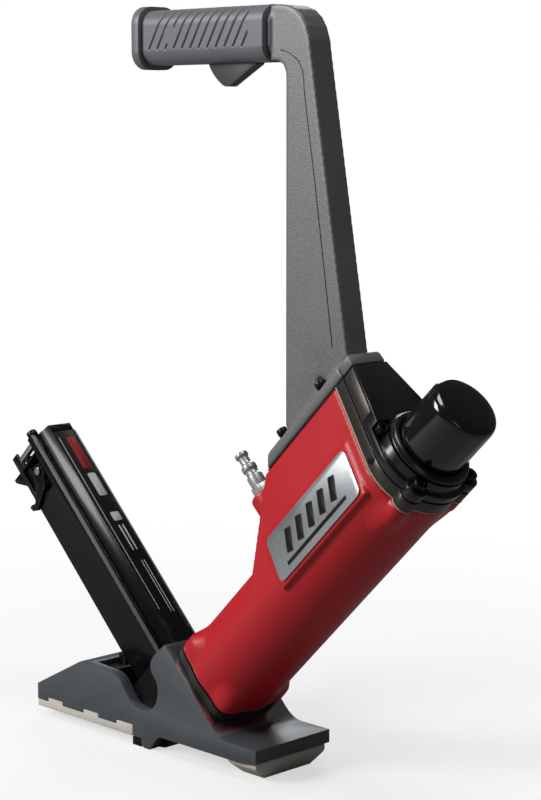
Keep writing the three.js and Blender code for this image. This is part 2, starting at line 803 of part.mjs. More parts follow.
function buildFlangeGasket() {
  const low = flangeSeatV + gap;
  const boltHole = ([u, y]) => crossBar(smallBolt + boltClear, -flangeLow - 5, -low + 5, y, u, 14);
  const tools = handleBolts.map(boltHole);
  const sheet = box(-low - 0.6, -low, 0.4 - flangeHalf, flangeHalf - 0.4, housingEnd - 98.4, housingEnd);
  return cut(sheet, toDriver(boxGeometry(-300, flangeRearX, -60, 60, -100, 500)), ...tools);
}

function buildHeel() {
  return slab(flangeShape(), flangeSplitU + 0.7, heelEndU);
}

function buildSleeve() {
  const outer = gripBar(roundedRect(gripHalfWidth, gripHalfHeight, 12), gripStart, gripEnd);
  const inner = gripBar(coreShape(0), gripStart - 5, gripEnd + 5);
  const slot = box(36, 97, -triggerHalf - 0.7, triggerHalf + 0.7, 500, gripZ - 5);
  const screwHole = pinBar(3.6, 10.5, gripZ + 1, -30, 0, 20);
  return cut(outer, inner, slot, screwHole);
}

function buildEndCap() {
  const end = gripStart - gap;
  const low = end - endCapLength;
  const section = (lip, radius) => roundedRect(gripHalfWidth + lip, gripHalfHeight + lip, radius);
  const body = join(
    gripBar(section(endCapLip, 14), low + 2, end),
    gripBar(section(endCapLip - 2, 12), low, low + 3),
  );
  return cut(body, gripBar(coreShape(0), gripStart - 12 - gap, end + 5));
}

function buildGripScrew() {
  return join(
    pinBar(3.1, 10.5, gripZ + 1, -gripHalfWidth + 0.8, gripWall - gripHalfWidth - 0.2, 20),
    pinBar(1.4, 10.5, gripZ + 1, -gripHalfWidth + 2, -4, 12),
  );
}

function buildTrigger() {
  const under = gripZ - gripHalfHeight;
  const shape = new THREE.Shape();
  shape.moveTo(40, under);
  shape.quadraticCurveTo(44, under - 9, 55, under - 16);
  shape.quadraticCurveTo(60.5, under - 19, 65, under - 15.6);
  shape.lineTo(92, under - 1);
  shape.lineTo(92, under + 3);
  shape.lineTo(52, triggerPivotZ + 4);
  shape.lineTo(40, triggerPivotZ + 4);
  const pinHole = pinBar(triggerPinRadius + 0.2, triggerPivotX, triggerPivotZ, -30, 30);
  return cut(sideSlab(shape, triggerHalf), pinHole);
}

function buildTriggerPin() {
  return pinBar(triggerPinRadius, triggerPivotX, triggerPivotZ, -triggerPinHalf, triggerPinHalf);
}

function buildTriggerSpring() {
  return coil(2.4, 0.5, triggerPivotZ - 2, gripZ - 0.9, 4, 80, 0);
}

// magazine
function buildMagazineCover() {
  const shape = outline([
    [-magazineTopHalf, magazineTop], [-14.4, 50], [-15.5, 49], [-16, grooveFloor], [-19.4, grooveFloor],
    [-19.8, sideFlangeTop], [-sideFlangeHalf, sideFlangeTop], [-sideFlangeHalf, sideFlangeBottom],
    [-15, coverBottom], [15, coverBottom], [sideFlangeHalf, sideFlangeBottom],
    [sideFlangeHalf, sideFlangeTop],
    [19.8, sideFlangeTop], [19.4, grooveFloor], [16, grooveFloor], [15.5, 49], [14.4, 50],
    [magazineTopHalf, magazineTop],
  ]);
  const body = endSlab(shape, magazineEnd, magazineNear);
  const channel = box(magazineEnd - 5, magazineNear + 5, -cleatHalf, cleatHalf, coverBottom - 5, 52.5);
  const [labelStart, labelEnd] = labelSpan;
  const reach = labelHalf + gap;
  const recess = box(labelStart - gap, labelEnd + gap, -reach, reach, magazineTop - 0.7, 80);
  const holes = [-19, 19].map((y) => crossBar(2.2, magazineEnd - 5, magazineEnd + 14, y, 42.7, 14));
  return cut(body, channel, recess, ...holes);
}

const labelHalf = 9.6;
const labelSpan = [-268, -60];

function buildLabel() {
  return box(...labelSpan, -labelHalf, labelHalf, magazineTop - 0.7 + gap, magazineTop + 0.25);
}

const windowSpan = [-270, -236];

function buildRail() {
  const top = coverBottom - gap;
  const body = join(
    box(magazineEnd + 4, magazineNear, -railHalf, railHalf, railBottom, top),
    box(-286.3, magazineEnd + 5, -railHalf, railHalf, railBottom, 4.6),
  );
  const inside = railHalf - railWall;
  return cut(
    body,
    box(-300, magazineNear + 5, -inside, inside, railBottom + railWall, top + 5),
    box(-281, magazineNear - 6, -2.6, 2.6, railBottom - 5, railBottom + 5),
    box(...windowSpan, -railHalf - 5, railHalf + 5, 1, top - 5),
  );
}

function buildStrap() {
  const face = box(magazineEnd - 5, magazineEnd - 0.5, -railHalf, railHalf, 4.6 + gap, coverBottom - gap);
  const hole = box(magazineEnd - 10, magazineEnd + 5, -7, 7, 0, 26);
  return cut(face, hole);
}

function buildPusher() {
  const end = pusherHome + pusherLength;
  const half = railHalf - railWall - 0.5;
  const head = join(
    box(pusherHome, end, -5, 5, railBottom + railWall + gap, 51.5),
    box(pusherHome, end, -half, half, 0, coverBottom - 1),
  );
  const neck = box(pusherHome + 1, pusherHome + 12, -2.1, 2.1, railBottom - 3, 2);
  const thumb = sideSlab(outline([
    [pusherHome + 1, railBottom - 0.6], [pusherHome + 0.6, -15.6], [pusherHome + 4.2, -15.2],
    [pusherHome + 16, railBottom - 0.6],
  ]), railHalf - 1);
  const hollow = box(pusherHome + 4, end - 4, -20, 20, 8, 22);
  return cut(join(head, neck, thumb), hollow);
}

function buildBand() {
  return box(pusherHome + pusherLength + 0.5, magazineNear - 1, -4, 4, 49.5, 50);
}

const leverPivotV = -255;
const leverPivotU = 21;
const leverFace = -railHalf - gap;

function buildLever() {
  const shape = outline([
    [-260, 26], [-250, 27.5], [-240, 18], [-233, -2], [-231, railBottom], [-235, -10], [-239.5, -11.4],
    [-240, -8], [-238, railBottom], [-243, 4], [-262, 17],
  ]);
  const geometry = new THREE.ExtrudeGeometry(shape, { depth: 2.2, bevelEnabled: false });
  geometry.rotateX(Math.PI / 2);
  geometry.translate(0, leverFace, 0);
  return cut(solidOf(geometry), pinBar(1.9, leverPivotV, leverPivotU, -30, 0, 14));
}

function buildLeverPin() {
  const outer = leverFace - 2.2 - gap;
  return join(
    pinBar(3.4, leverPivotV, leverPivotU, outer - 1.6, outer, 18),
    pinBar(1.6, leverPivotV, leverPivotU, outer - 0.5, -railHalf + railWall - 0.4, 14),
  );
}

function buildEndScrew(y) {
  return join(
    crossBar(4.6, magazineEnd - 5.2, magazineEnd - gap, y, 42.7, 20),
    crossBar(1.9, magazineEnd - 1, magazineEnd + 13, y, 42.7, 12),
  );
}

// fasteners
function buildFootBolt(v, y) {
  const seat = v > 0 ? boltSink - gap : seatUnder - gap;
  return join(bar(5, v, y, seat - 5, seat, 18), bar(largeBolt, v, y, seat - 1, 95, 12));
}

function buildHeadBolt(v, y) {
  const seat = headFloor + 1.6 + gap;
  return cut(
    join(bar(5, v, y, seat, seat + 5.4, 20), bar(largeBolt, v, y, boltEnd, seat + 1, 12)),
    bar(2.5, v, y, seat + 2.6, seat + 8, 6),
  );
}

function buildHandleBolt(u, y) {
  const seat = -flangeTop - gap;
  return cut(
    join(crossBar(boltHeadRadius, seat - 5, seat, y, u, 20), crossBar(smallBolt, seat - 1, -73, y, u, 12)),
    crossBar(2.2, seat - 8, seat - 2.6, y, u, 6),
  );
}

// assembly
place(object, 'foot_casting', buildFoot(), looks.slate);
place(object, 'rest_pad', buildPad(), looks.pale);
place(object, 'toe_glide', buildGlide(), looks.pale);
place(object, 'nose_block', buildNose(), looks.blackSteel);
place(driverFrame, 'base_plate', buildBasePlate(), looks.rubber);
place(driverFrame, 'driver_housing', buildHousing(), looks.red);
place(driverFrame, 'nameplate', buildNameplate(), looks.plate);
place(driverFrame, 'plug_bushing', buildBushing(), looks.steel);
place(driverFrame, 'air_plug', buildPlug(), looks.steel);
place(driverFrame, 'cylinder_liner', buildLiner(), looks.steel);
place(driverFrame, 'piston_bumper', buildBumper(), looks.rubber);
place(driverFrame, 'piston', buildPiston(), looks.steel);
place(driverFrame, 'piston_seal', buildPistonSeal(), looks.rubber);
place(driverFrame, 'driver_blade', buildBlade(), looks.steel);
place(driverFrame, 'valve_body', buildValve(), looks.brass);
place(driverFrame, 'head_gasket', buildHeadSheet(gasketLow, gasketHigh, 0.2), looks.cream);
place(driverFrame, 'head_plate', buildHeadSheet(headPlateLow, headPlateHigh, 0), looks.bronzeGray);
place(driverFrame, 'mid_gasket', buildHeadSheet(midGasketLow, midGasketHigh, -1), looks.rubber);
place(driverFrame, 'upper_plate', buildUpperPlate(), looks.bronzeGray);
place(driverFrame, 'head_cap', buildHeadCap(), looks.blackPlastic);
place(driverFrame, 'cap_collar', buildCapCollar(), looks.rubber);
place(driverFrame, 'strike_cap', buildCap(), looks.blackPlastic);
place(driverFrame, 'strike_stem', buildStem(), looks.steel);
place(driverFrame, 'strike_spring', buildStrikeSpring(), looks.steel);
place(object, 'handle_frame', buildHandle(), looks.castGray);
place(driverFrame, 'flange_gasket', buildFlangeGasket(), looks.rubber);
place(driverFrame, 'handle_heel', buildHeel(), looks.castGray);
place(object, 'grip_sleeve', buildSleeve(), looks.castGray);
place(object, 'grip_end_cap', buildEndCap(), looks.castGray);
place(object, 'grip_screw', buildGripScrew(), looks.blackSteel);
place(object, 'trigger', buildTrigger(), looks.blackPlastic);
place(object, 'trigger_pin', buildTriggerPin(), looks.steel);
place(object, 'trigger_spring', buildTriggerSpring(), looks.steel);
place(driverFrame, 'magazine_cover', buildMagazineCover(), looks.blackSteel);
place(driverFrame, 'label_strip', buildLabel(), looks.blackPlastic);
place(driverFrame, 'cleat_rail', buildRail(), looks.blackSteel);
place(driverFrame, 'end_strap', buildStrap(), looks.steel);
place(driverFrame, 'pusher', buildPusher(), looks.blackSteel);
place(driverFrame, 'pusher_band', buildBand(), looks.steel);
place(driverFrame, 'release_lever', buildLever(), looks.blackSteel);
place(driverFrame, 'lever_pin', buildLeverPin(), looks.steel);
place(driverFrame, 'end_screw_near', buildEndScrew(-19), looks.blackSteel);
place(driverFrame, 'end_screw_far', buildEndScrew(19), looks.blackSteel);

function placeBolts(name, spots, build) {
  spots.forEach(([a, b], i) => place(driverFrame, `${name}_${i + 1}`, build(a, b), looks.blackSteel));
}

placeBolts('foot_bolt', footBolts, buildFootBolt);
placeBolts('head_bolt', headBolts, buildHeadBolt);
placeBolts('handle_bolt', handleBolts, buildHandleBolt);

const nailer = new THREE.Group();
object.position.x = -(footRear + tipBack - gap) / 2;
nailer.add(object);

export default nailer;
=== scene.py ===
import json
import math

import bmesh
import bpy
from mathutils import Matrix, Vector


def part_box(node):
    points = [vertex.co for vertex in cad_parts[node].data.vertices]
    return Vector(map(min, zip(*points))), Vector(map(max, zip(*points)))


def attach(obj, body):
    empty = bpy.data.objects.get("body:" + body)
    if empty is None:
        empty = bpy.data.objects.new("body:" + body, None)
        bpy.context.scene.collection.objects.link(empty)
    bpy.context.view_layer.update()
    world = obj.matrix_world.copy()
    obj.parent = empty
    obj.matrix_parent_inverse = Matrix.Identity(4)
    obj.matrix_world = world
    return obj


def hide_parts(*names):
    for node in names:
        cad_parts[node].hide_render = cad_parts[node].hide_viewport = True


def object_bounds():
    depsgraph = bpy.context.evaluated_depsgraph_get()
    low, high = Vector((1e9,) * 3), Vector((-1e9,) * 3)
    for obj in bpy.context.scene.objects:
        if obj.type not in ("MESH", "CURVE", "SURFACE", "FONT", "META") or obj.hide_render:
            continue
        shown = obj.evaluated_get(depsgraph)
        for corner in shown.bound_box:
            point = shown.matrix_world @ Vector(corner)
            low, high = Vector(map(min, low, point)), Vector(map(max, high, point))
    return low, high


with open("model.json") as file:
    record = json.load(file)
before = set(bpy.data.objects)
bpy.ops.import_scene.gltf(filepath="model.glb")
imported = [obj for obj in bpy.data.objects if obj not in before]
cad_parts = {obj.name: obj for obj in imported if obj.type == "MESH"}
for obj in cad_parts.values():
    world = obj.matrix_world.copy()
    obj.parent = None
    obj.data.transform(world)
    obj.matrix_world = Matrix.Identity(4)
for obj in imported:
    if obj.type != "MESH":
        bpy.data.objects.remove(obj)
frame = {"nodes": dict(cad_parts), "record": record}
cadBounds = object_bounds()
scene = bpy.context.scene

mm = 0.001
half = math.sqrt(0.5)
driverUp = Vector((half, 0, half))     # up the driver's axis
driverDown = Vector((half, 0, -half))  # down the sloped seat, towards the toe
acrossTool = Vector((0, 1, 0))

bodyOf = {node: body for body, nodes in frame["record"]["behaviour"]["bodies"].items() for node in nodes}


def middle(node):
    low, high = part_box(node)
    return (low + high) / 2


axisX = middle("strike_cap").x - middle("strike_cap").z  # where the driver's axis meets the board's face


def onDriver(v, y, u):
    return Vector(((u + v) * half * mm + axisX, y * mm, (u - v) * half * mm))


def onRow(x, y, z):
    return Vector((x * mm + axisX, y * mm, z * mm))


# shader groups

def newGroup(name, inputs, outputs):
    group = bpy.data.node_groups.new(name, "ShaderNodeTree")
    for label, kind, value in inputs:
        socket = group.interface.new_socket(name=label, in_out="INPUT", socket_type=kind)
        if value is not None:
            socket.default_value = value
    for label, kind in outputs:
        group.interface.new_socket(name=label, in_out="OUTPUT", socket_type=kind)
    return group, group.nodes.new("NodeGroupInput"), group.nodes.new("NodeGroupOutput")


def makeGrain():
    group, start, end = newGroup(
        "coatGrain",
        [("Scale", "NodeSocketFloat", 900.0), ("Stretch", "NodeSocketVector", (1.0, 1.0, 1.0))],
        [("Fine", "NodeSocketFloat"), ("Broad", "NodeSocketFloat")],
    )
    nodes, links = group.nodes, group.links
    place = nodes.new("ShaderNodeTexCoord")
    stretch = nodes.new("ShaderNodeVectorMath")
    stretch.operation = "MULTIPLY"
    fine = nodes.new("ShaderNodeTexNoise")
    fine.inputs["Detail"].default_value = 3.0
    broad = nodes.new("ShaderNodeTexNoise")
    broad.inputs["Scale"].default_value = 22.0
    broad.inputs["Detail"].default_value = 4.0
    links.new(place.outputs["Object"], stretch.inputs[0])
    links.new(start.outputs["Stretch"], stretch.inputs[1])
    links.new(stretch.outputs["Vector"], fine.inputs["Vector"])
    links.new(start.outputs["Scale"], fine.inputs["Scale"])
    links.new(place.outputs["Object"], broad.inputs["Vector"])
    links.new(fine.outputs["Fac"], end.inputs["Fine"])
    links.new(broad.outputs["Fac"], end.inputs["Broad"])
    return group


def makeEdgeRub():
    group, start, end = newGroup(
        "edgeRub",
        [("Width", "NodeSocketFloat", 0.0006), ("Amount", "NodeSocketFloat", 0.5)],
        [("Mask", "NodeSocketFloat")],
    )
    nodes, links = group.nodes, group.links
    soft = nodes.new("ShaderNodeBevel")
    soft.samples = 4
    face = nodes.new("ShaderNodeNewGeometry")
    match = nodes.new("ShaderNodeVectorMath")
    match.operation = "DOT_PRODUCT"
    place = nodes.new("ShaderNodeTexCoord")
    patches = nodes.new("ShaderNodeTexNoise")
    patches.inputs["Scale"].default_value = 160.0
    patches.inputs["Detail"].default_value = 5.0
    reach = nodes.new("ShaderNodeMapRange")
    reach.inputs["From Min"].default_value = 0.985
    reach.inputs["From Max"].default_value = 0.80
    patchy = nodes.new("ShaderNodeMapRange")
    patchy.inputs["From Min"].default_value = 0.42
    patchy.inputs["From Max"].default_value = 0.62
    both = nodes.new("ShaderNodeMath")
    both.operation = "MULTIPLY"
    amount = nodes.new("ShaderNodeMath")
    amount.operation = "MULTIPLY"
    links.new(start.outputs["Width"], soft.inputs["Radius"])
    links.new(soft.outputs["Normal"], match.inputs[0])
    links.new(face.outputs["Normal"], match.inputs[1])
    links.new(match.outputs["Value"], reach.inputs["Value"])
    links.new(place.outputs["Object"], patches.inputs["Vector"])
    links.new(patches.outputs["Fac"], patchy.inputs["Value"])
    links.new(reach.outputs["Result"], both.inputs[0])
    links.new(patchy.outputs["Result"], both.inputs[1])
    links.new(both.outputs["Value"], amount.inputs[0])
    links.new(start.outputs["Amount"], amount.inputs[1])
    links.new(amount.outputs["Value"], end.inputs["Mask"])
    return group


def makeFacing():
    # 1 on faces that look along Direction and lie within Reach of Distance along it
    group, start, end = newGroup(
        "facingAt",
        [("Direction", "NodeSocketVector", (0.0, 0.0, 1.0)), ("Distance", "NodeSocketFloat", 0.0),
         ("Reach", "NodeSocketFloat", 0.001)],
        [("Mask", "NodeSocketFloat")],
    )
    nodes, links = group.nodes, group.links
    place = nodes.new("ShaderNodeTexCoord")
    face = nodes.new("ShaderNodeNewGeometry")
    along = nodes.new("ShaderNodeVectorMath")
    along.operation = "DOT_PRODUCT"
    looks = nodes.new("ShaderNodeVectorMath")
    looks.operation = "DOT_PRODUCT"
    near = nodes.new("ShaderNodeMath")
    near.operation = "COMPARE"
    level = nodes.new("ShaderNodeMapRange")
    level.inputs["From Min"].default_value = 0.9
    level.inputs["From Max"].default_value = 0.99
    both = nodes.new("ShaderNodeMath")
    both.operation = "MULTIPLY"
    links.new(place.outputs["Object"], along.inputs[0])
    links.new(start.outputs["Direction"], along.inputs[1])
    links.new(face.outputs["Normal"], looks.inputs[0])
    links.new(start.outputs["Direction"], looks.inputs[1])
    links.new(along.outputs["Value"], near.inputs[0])
    links.new(start.outputs["Distance"], near.inputs[1])
    links.new(start.outputs["Reach"], near.inputs[2])
    links.new(looks.outputs["Value"], level.inputs["Value"])
    links.new(near.outputs["Value"], both.inputs[0])
    links.new(level.outputs["Result"], both.inputs[1])
    links.new(both.outputs["Value"], end.inputs["Mask"])
    return group


coatGrain = makeGrain()
edgeRub = makeEdgeRub()
facingAt = makeFacing()
print("shader groups built")

# finishes

finishes = {
    "redCoat": dict(color=(0.50, 0.007, 0.014), dark=(0.37, 0.004, 0.009), rough=0.42, roughSpan=0.10, metal=0.0,
                    scale=1500, bump=0.10, rub=0.10, rubColor=(0.60, 0.08, 0.08), coat=0.05),
    "handleCoat": dict(color=(0.190, 0.191, 0.200), dark=(0.100, 0.101, 0.108), rough=0.46, roughSpan=0.14,
                       metal=0.35, scale=1100, bump=0.40, rub=0.35, rubColor=(0.36, 0.36, 0.37), coat=0.0),
    "gripPlastic": dict(color=(0.155, 0.160, 0.174), dark=(0.105, 0.108, 0.120), rough=0.42, roughSpan=0.10,
                        metal=0.1, scale=1600, bump=0.14, rub=0.15, rubColor=(0.26, 0.26, 0.28), coat=0.0),
    "triggerPlastic": dict(color=(0.062, 0.056, 0.058), dark=(0.040, 0.036, 0.038), rough=0.48, roughSpan=0.10,
                           metal=0.0, scale=1400, bump=0.12, rub=0.5, rubColor=(0.30, 0.28, 0.28), coat=0.0),
    "footPaint": dict(color=(0.074, 0.083, 0.093), dark=(0.058, 0.065, 0.074), rough=0.46, roughSpan=0.08,
                      metal=0.15, scale=1300, bump=0.07, rub=0.35, rubColor=(0.26, 0.27, 0.28), coat=0.05),
    "wearPad": dict(color=(0.58, 0.545, 0.50), dark=(0.46, 0.43, 0.39), rough=0.66, roughSpan=0.10, metal=0.0,
                    scale=700, bump=0.10, rub=0.2, rubColor=(0.70, 0.67, 0.63), coat=0.0),
    "noseBlack": dict(shine=0.25, color=(0.008, 0.008, 0.009), dark=(0.005, 0.005, 0.006), rough=0.30,
                      roughSpan=0.14, metal=0.6,
                      scale=900, bump=0.10, rub=0.5, rubColor=(0.12, 0.12, 0.12), coat=0.0),
    "railBlack": dict(shine=0.2, color=(0.006, 0.006, 0.007), dark=(0.004, 0.004, 0.005), rough=0.24,
                      roughSpan=0.12, metal=0.1,
                      scale=700, bump=0.08, rub=0.7, rubColor=(0.16, 0.15, 0.14), coat=0.1),
    "magazineBlack": dict(shine=0.2, color=(0.007, 0.007, 0.008), dark=(0.004, 0.004, 0.005), rough=0.24,
                          roughSpan=0.08, metal=0.1, scale=260, stretch=(6.0, 1.0, 6.0), bump=0.05, rub=1.0,
                          rubColor=(0.42, 0.41, 0.42), coat=0.1),
    "gasketRubber": dict(color=(0.012, 0.012, 0.012), dark=(0.008, 0.008, 0.008), rough=0.62, roughSpan=0.10,
                         metal=0.0, scale=800, bump=0.10, rub=0.0, rubColor=(0.05, 0.05, 0.05), coat=0.0),
    "gasketPaper": dict(color=(0.42, 0.34, 0.25), dark=(0.32, 0.26, 0.19), rough=0.80, roughSpan=0.08, metal=0.0,
                        scale=900, bump=0.20, rub=0.0, rubColor=(0.70, 0.60, 0.45), coat=0.0),
    "headPlate": dict(color=(0.080, 0.071, 0.066), dark=(0.052, 0.046, 0.042), rough=0.36, roughSpan=0.14, metal=0.75,
                      scale=500, stretch=(0.4, 3.0, 0.4), bump=0.08, rub=0.5, rubColor=(0.40, 0.38, 0.36), coat=0.0),
    "headBlack": dict(color=(0.009, 0.0095, 0.011), dark=(0.006, 0.0065, 0.008), rough=0.26, roughSpan=0.12,
                      metal=0.0, scale=700, bump=0.06, rub=0.35, rubColor=(0.10, 0.10, 0.11), coat=0.3),
    "capGloss": dict(color=(0.006, 0.006, 0.007), dark=(0.004, 0.004, 0.005), rough=0.13, roughSpan=0.10, metal=0.0,
                     scale=120, bump=0.015, rub=0.0, rubColor=(0.03, 0.03, 0.03), coat=0.6),
    "plated": dict(color=(0.46, 0.47, 0.48), dark=(0.34, 0.35, 0.36), rough=0.34, roughSpan=0.10, metal=0.65,
                   scale=500, bump=0.03, rub=0.3, rubColor=(0.45, 0.42, 0.38), coat=0.0),
    "groundSteel": dict(color=(0.50, 0.50, 0.51), dark=(0.36, 0.36, 0.37), rough=0.30, roughSpan=0.14, metal=1.0,
                        scale=700, stretch=(1.0, 4.0, 1.0), bump=0.08, rub=0.2, rubColor=(0.7, 0.7, 0.7), coat=0.0),
    "brushedPlate": dict(color=(0.50, 0.53, 0.545), dark=(0.38, 0.405, 0.42), rough=0.36, roughSpan=0.16, metal=0.9,
                         scale=320, stretch=(1.0, 9.0, 1.0), bump=0.06, rub=0.2, rubColor=(0.75, 0.77, 0.78),
                         coat=0.0),
    "plateInk": dict(shine=0.2, color=(0.008, 0.008, 0.009), dark=(0.006, 0.006, 0.007), rough=0.36,
                     roughSpan=0.06, metal=0.0,
                     scale=600, bump=0.03, rub=0.0, rubColor=(0.02, 0.02, 0.02), coat=0.05),
    "filmRed": dict(color=(0.36, 0.012, 0.016), dark=(0.28, 0.010, 0.012), rough=0.38, roughSpan=0.06, metal=0.0,
                    scale=600, bump=0.02, rub=0.0, rubColor=(0.4, 0.1, 0.1), coat=0.2),
    "filmWhite": dict(color=(0.62, 0.62, 0.61), dark=(0.52, 0.52, 0.51), rough=0.42, roughSpan=0.06, metal=0.0,
                      scale=600, bump=0.02, rub=0.0, rubColor=(0.7, 0.7, 0.7), coat=0.2),
    "boltBlack": dict(color=(0.016, 0.016, 0.017), dark=(0.009, 0.009, 0.010), rough=0.32, roughSpan=0.12, metal=0.8,
                      scale=900, bump=0.08, rub=0.6, rubColor=(0.20, 0.20, 0.20), coat=0.0),
    "valvePlastic": dict(color=(0.50, 0.44, 0.32), dark=(0.42, 0.36, 0.26), rough=0.50, roughSpan=0.08, metal=0.0,
                         scale=700, bump=0.05, rub=0.0, rubColor=(0.5, 0.45, 0.4), coat=0.0),
    # painted shade, laid on groove bottoms and along seams
    "seamShadow": dict(color=(0.030, 0.030, 0.033), dark=(0.020, 0.020, 0.022), rough=0.60, roughSpan=0.08, metal=0.0,
                       scale=900, bump=0.10, rub=0.0, rubColor=(0.05, 0.05, 0.05), coat=0.0),
}

# polished faces and painted highlight strips: finish, direction, distance along it, reach, colour, metallic, roughness
polishAndSheenFaces = {
    # the foot's polished bare-metal seat under the base plate
    "footPaint": [
        dict(way=driverUp, at=("base_plate", "low"), reach=0.0012, color=(0.42, 0.43, 0.45), metal=1.0, rough=0.16),
    ],
    # painted highlight: a lighter strip on the magazine's upward-facing flange face
    "magazineBlack": [
        dict(way=driverUp, at=0.046, reach=0.0006, color=(0.34, 0.33, 0.37), metal=0.4, rough=0.36),
    ],
}


def alongDriver(spot):
    # distance of a point along the driver's direction, or of the object's base plate
    if isinstance(spot, tuple):
        node, _ = spot
        corner = [v.co.dot(driverUp) for v in frame["nodes"][node].data.vertices]
        return min(corner)
    return spot + axisX * half


def groupNode(tree, group, **values):
    node = tree.nodes.new("ShaderNodeGroup")
    node.node_tree = group
    for label, value in values.items():
        node.inputs[label].default_value = value
    return node


def mixColor(tree, factor, first, second):
    mix = tree.nodes.new("ShaderNodeMix")
    mix.data_type = "RGBA"
    tree.links.new(factor, mix.inputs["Factor"])
    for socket, value in ((mix.inputs[6], first), (mix.inputs[7], second)):
        if isinstance(value, tuple):
            socket.default_value = (*value, 1.0)
        else:
            tree.links.new(value, socket)
    return mix.outputs[2]


def mixValue(tree, factor, first, second):
    mix = tree.nodes.new("ShaderNodeMix")
    mix.data_type = "FLOAT"
    tree.links.new(factor, mix.inputs["Factor"])
    for socket, value in ((mix.inputs[2], first), (mix.inputs[3], second)):
        if isinstance(value, (int, float)):
            socket.default_value = value
        else:
            tree.links.new(value, socket)
    return mix.outputs[0]


def makeFinish(name, look):
    material = bpy.data.materials.new(name)
    material.use_nodes = True
    tree = material.node_tree
    shader = tree.nodes["Principled BSDF"]
    grain = groupNode(tree, coatGrain, Scale=float(look["scale"]), Stretch=look.get("stretch", (1.0, 1.0, 1.0)))
    span = tree.nodes.new("ShaderNodeMapRange")
    span.inputs["From Min"].default_value = 0.35
    span.inputs["From Max"].default_value = 0.65
    tree.links.new(grain.outputs["Fine"], span.inputs["Value"])
    color = mixColor(tree, span.outputs["Result"], look["dark"], look["color"])
    color = mixColor(tree, grain.outputs["Broad"], color, look["color"])
    rough = mixValue(tree, grain.outputs["Broad"], look["rough"] - look["roughSpan"] / 2,
                     look["rough"] + look["roughSpan"] / 2)
    metal = None
    if look["rub"] > 0:
        rub = groupNode(tree, edgeRub, Width=0.0007, Amount=look["rub"])
        color = mixColor(tree, rub.outputs["Mask"], color, look["rubColor"])
    # polished faces and strips of painted highlight, laid over the finish
    for face in polishAndSheenFaces.get(name, []):
        mask = groupNode(tree, facingAt, Direction=face["way"], Distance=alongDriver(face["at"]), Reach=face["reach"])
        color = mixColor(tree, mask.outputs["Mask"], color, face["color"])
        rough = mixValue(tree, mask.outputs["Mask"], rough, face["rough"])
        metal = mixValue(tree, mask.outputs["Mask"], look["metal"] if metal is None else metal, face["metal"])
    tree.links.new(color, shader.inputs["Base Color"])
    tree.links.new(rough, shader.inputs["Roughness"])
    if metal is None:
        shader.inputs["Metallic"].default_value = look["metal"]
    else:
        tree.links.new(metal, shader.inputs["Metallic"])
    shader.inputs["Coat Weight"].default_value = look["coat"]
    shader.inputs["Specular IOR Level"].default_value = look.get("shine", 0.4)
    shader.inputs["Coat Roughness"].default_value = 0.12
    bump = tree.nodes.new("ShaderNodeBump")
    bump.inputs["Strength"].default_value = look["bump"]
    bump.inputs["Distance"].default_value = 0.0004
    tree.links.new(grain.outputs["Fine"], bump.inputs["Height"])
    tree.links.new(bump.outputs["Normal"], shader.inputs["Normal"])
    return material


finish = {name: makeFinish(name, look) for name, look in finishes.items()}
print("finishes built:", len(finish))

# mesh helpers


def newPiece(name, mesh, look, body, replaced=()):
    piece = bpy.data.objects.new(name, mesh)
    scene.collection.objects.link(piece)
    mesh.materials.clear()
    mesh.materials.append(finish[look])
    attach(piece, body)
    if replaced:
        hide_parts(*replaced)
    return piece


def cleanMesh(node):
    # the node's shape with its split corners joined and its degenerate edges and faces dissolved
    mesh = frame["nodes"][node].data.copy()
    shape = bmesh.new()
    shape.from_mesh(mesh)
    bmesh.ops.remove_doubles(shape, verts=shape.verts, dist=2e-6)
    bmesh.ops.dissolve_degenerate(shape, edges=shape.edges, dist=1e-6)
    return mesh, shape


def settle(piece):
    # the piece's modifiers applied to its mesh
    depsgraph = bpy.context.evaluated_depsgraph_get()
    made = bpy.data.meshes.new_from_object(piece.evaluated_get(depsgraph))
    piece.modifiers.clear()
    old = piece.data
    piece.data = made
    bpy.data.meshes.remove(old)


def smoothUnder(piece, degrees):
    piece.data.shade_smooth()
    piece.data.set_sharp_from_angle(angle=math.radians(degrees))


def roundedEdges(node, look, width, segments=2):
    # a machined piece: the node's own shape with a small round along its edges
    mesh, shape = cleanMesh(node)
    bmesh.ops.dissolve_limit(shape, angle_limit=math.radians(0.8), verts=shape.verts, edges=shape.edges,
                             delimit={"NORMAL"})
    shape.to_mesh(mesh)
    shape.free()
    mesh.name = node + "_shape"
    piece = newPiece(node + "_piece", mesh, look, bodyOf[node], (node,))
    edge = piece.modifiers.new("edge", "BEVEL")
    edge.width = width * mm
    edge.segments = segments
    edge.limit_method = "ANGLE"
    edge.angle_limit = math.radians(32)
    edge.use_clamp_overlap = True
    edge.harden_normals = False
    settle(piece)
    smoothUnder(piece, 34)
    return piece


def castForm(node, look, voxel, passes):
    # a casting: the node's shape with its edges run soft, as draft and fillets leave them
    mesh, shape = cleanMesh(node)
    shape.to_mesh(mesh)
    shape.free()
    mesh.name = node + "_shape"
    piece = newPiece(node + "_piece", mesh, look, bodyOf[node], (node,))
    form = piece.modifiers.new("form", "REMESH")
    form.mode = "VOXEL"
    form.voxel_size = voxel * mm
    ease = piece.modifiers.new("ease", "SMOOTH")
    ease.factor = 0.5
    ease.iterations = passes
    settle(piece)
    piece.data.shade_smooth()
    piece.data.materials.clear()
    piece.data.materials.append(finish[look])
    return piece


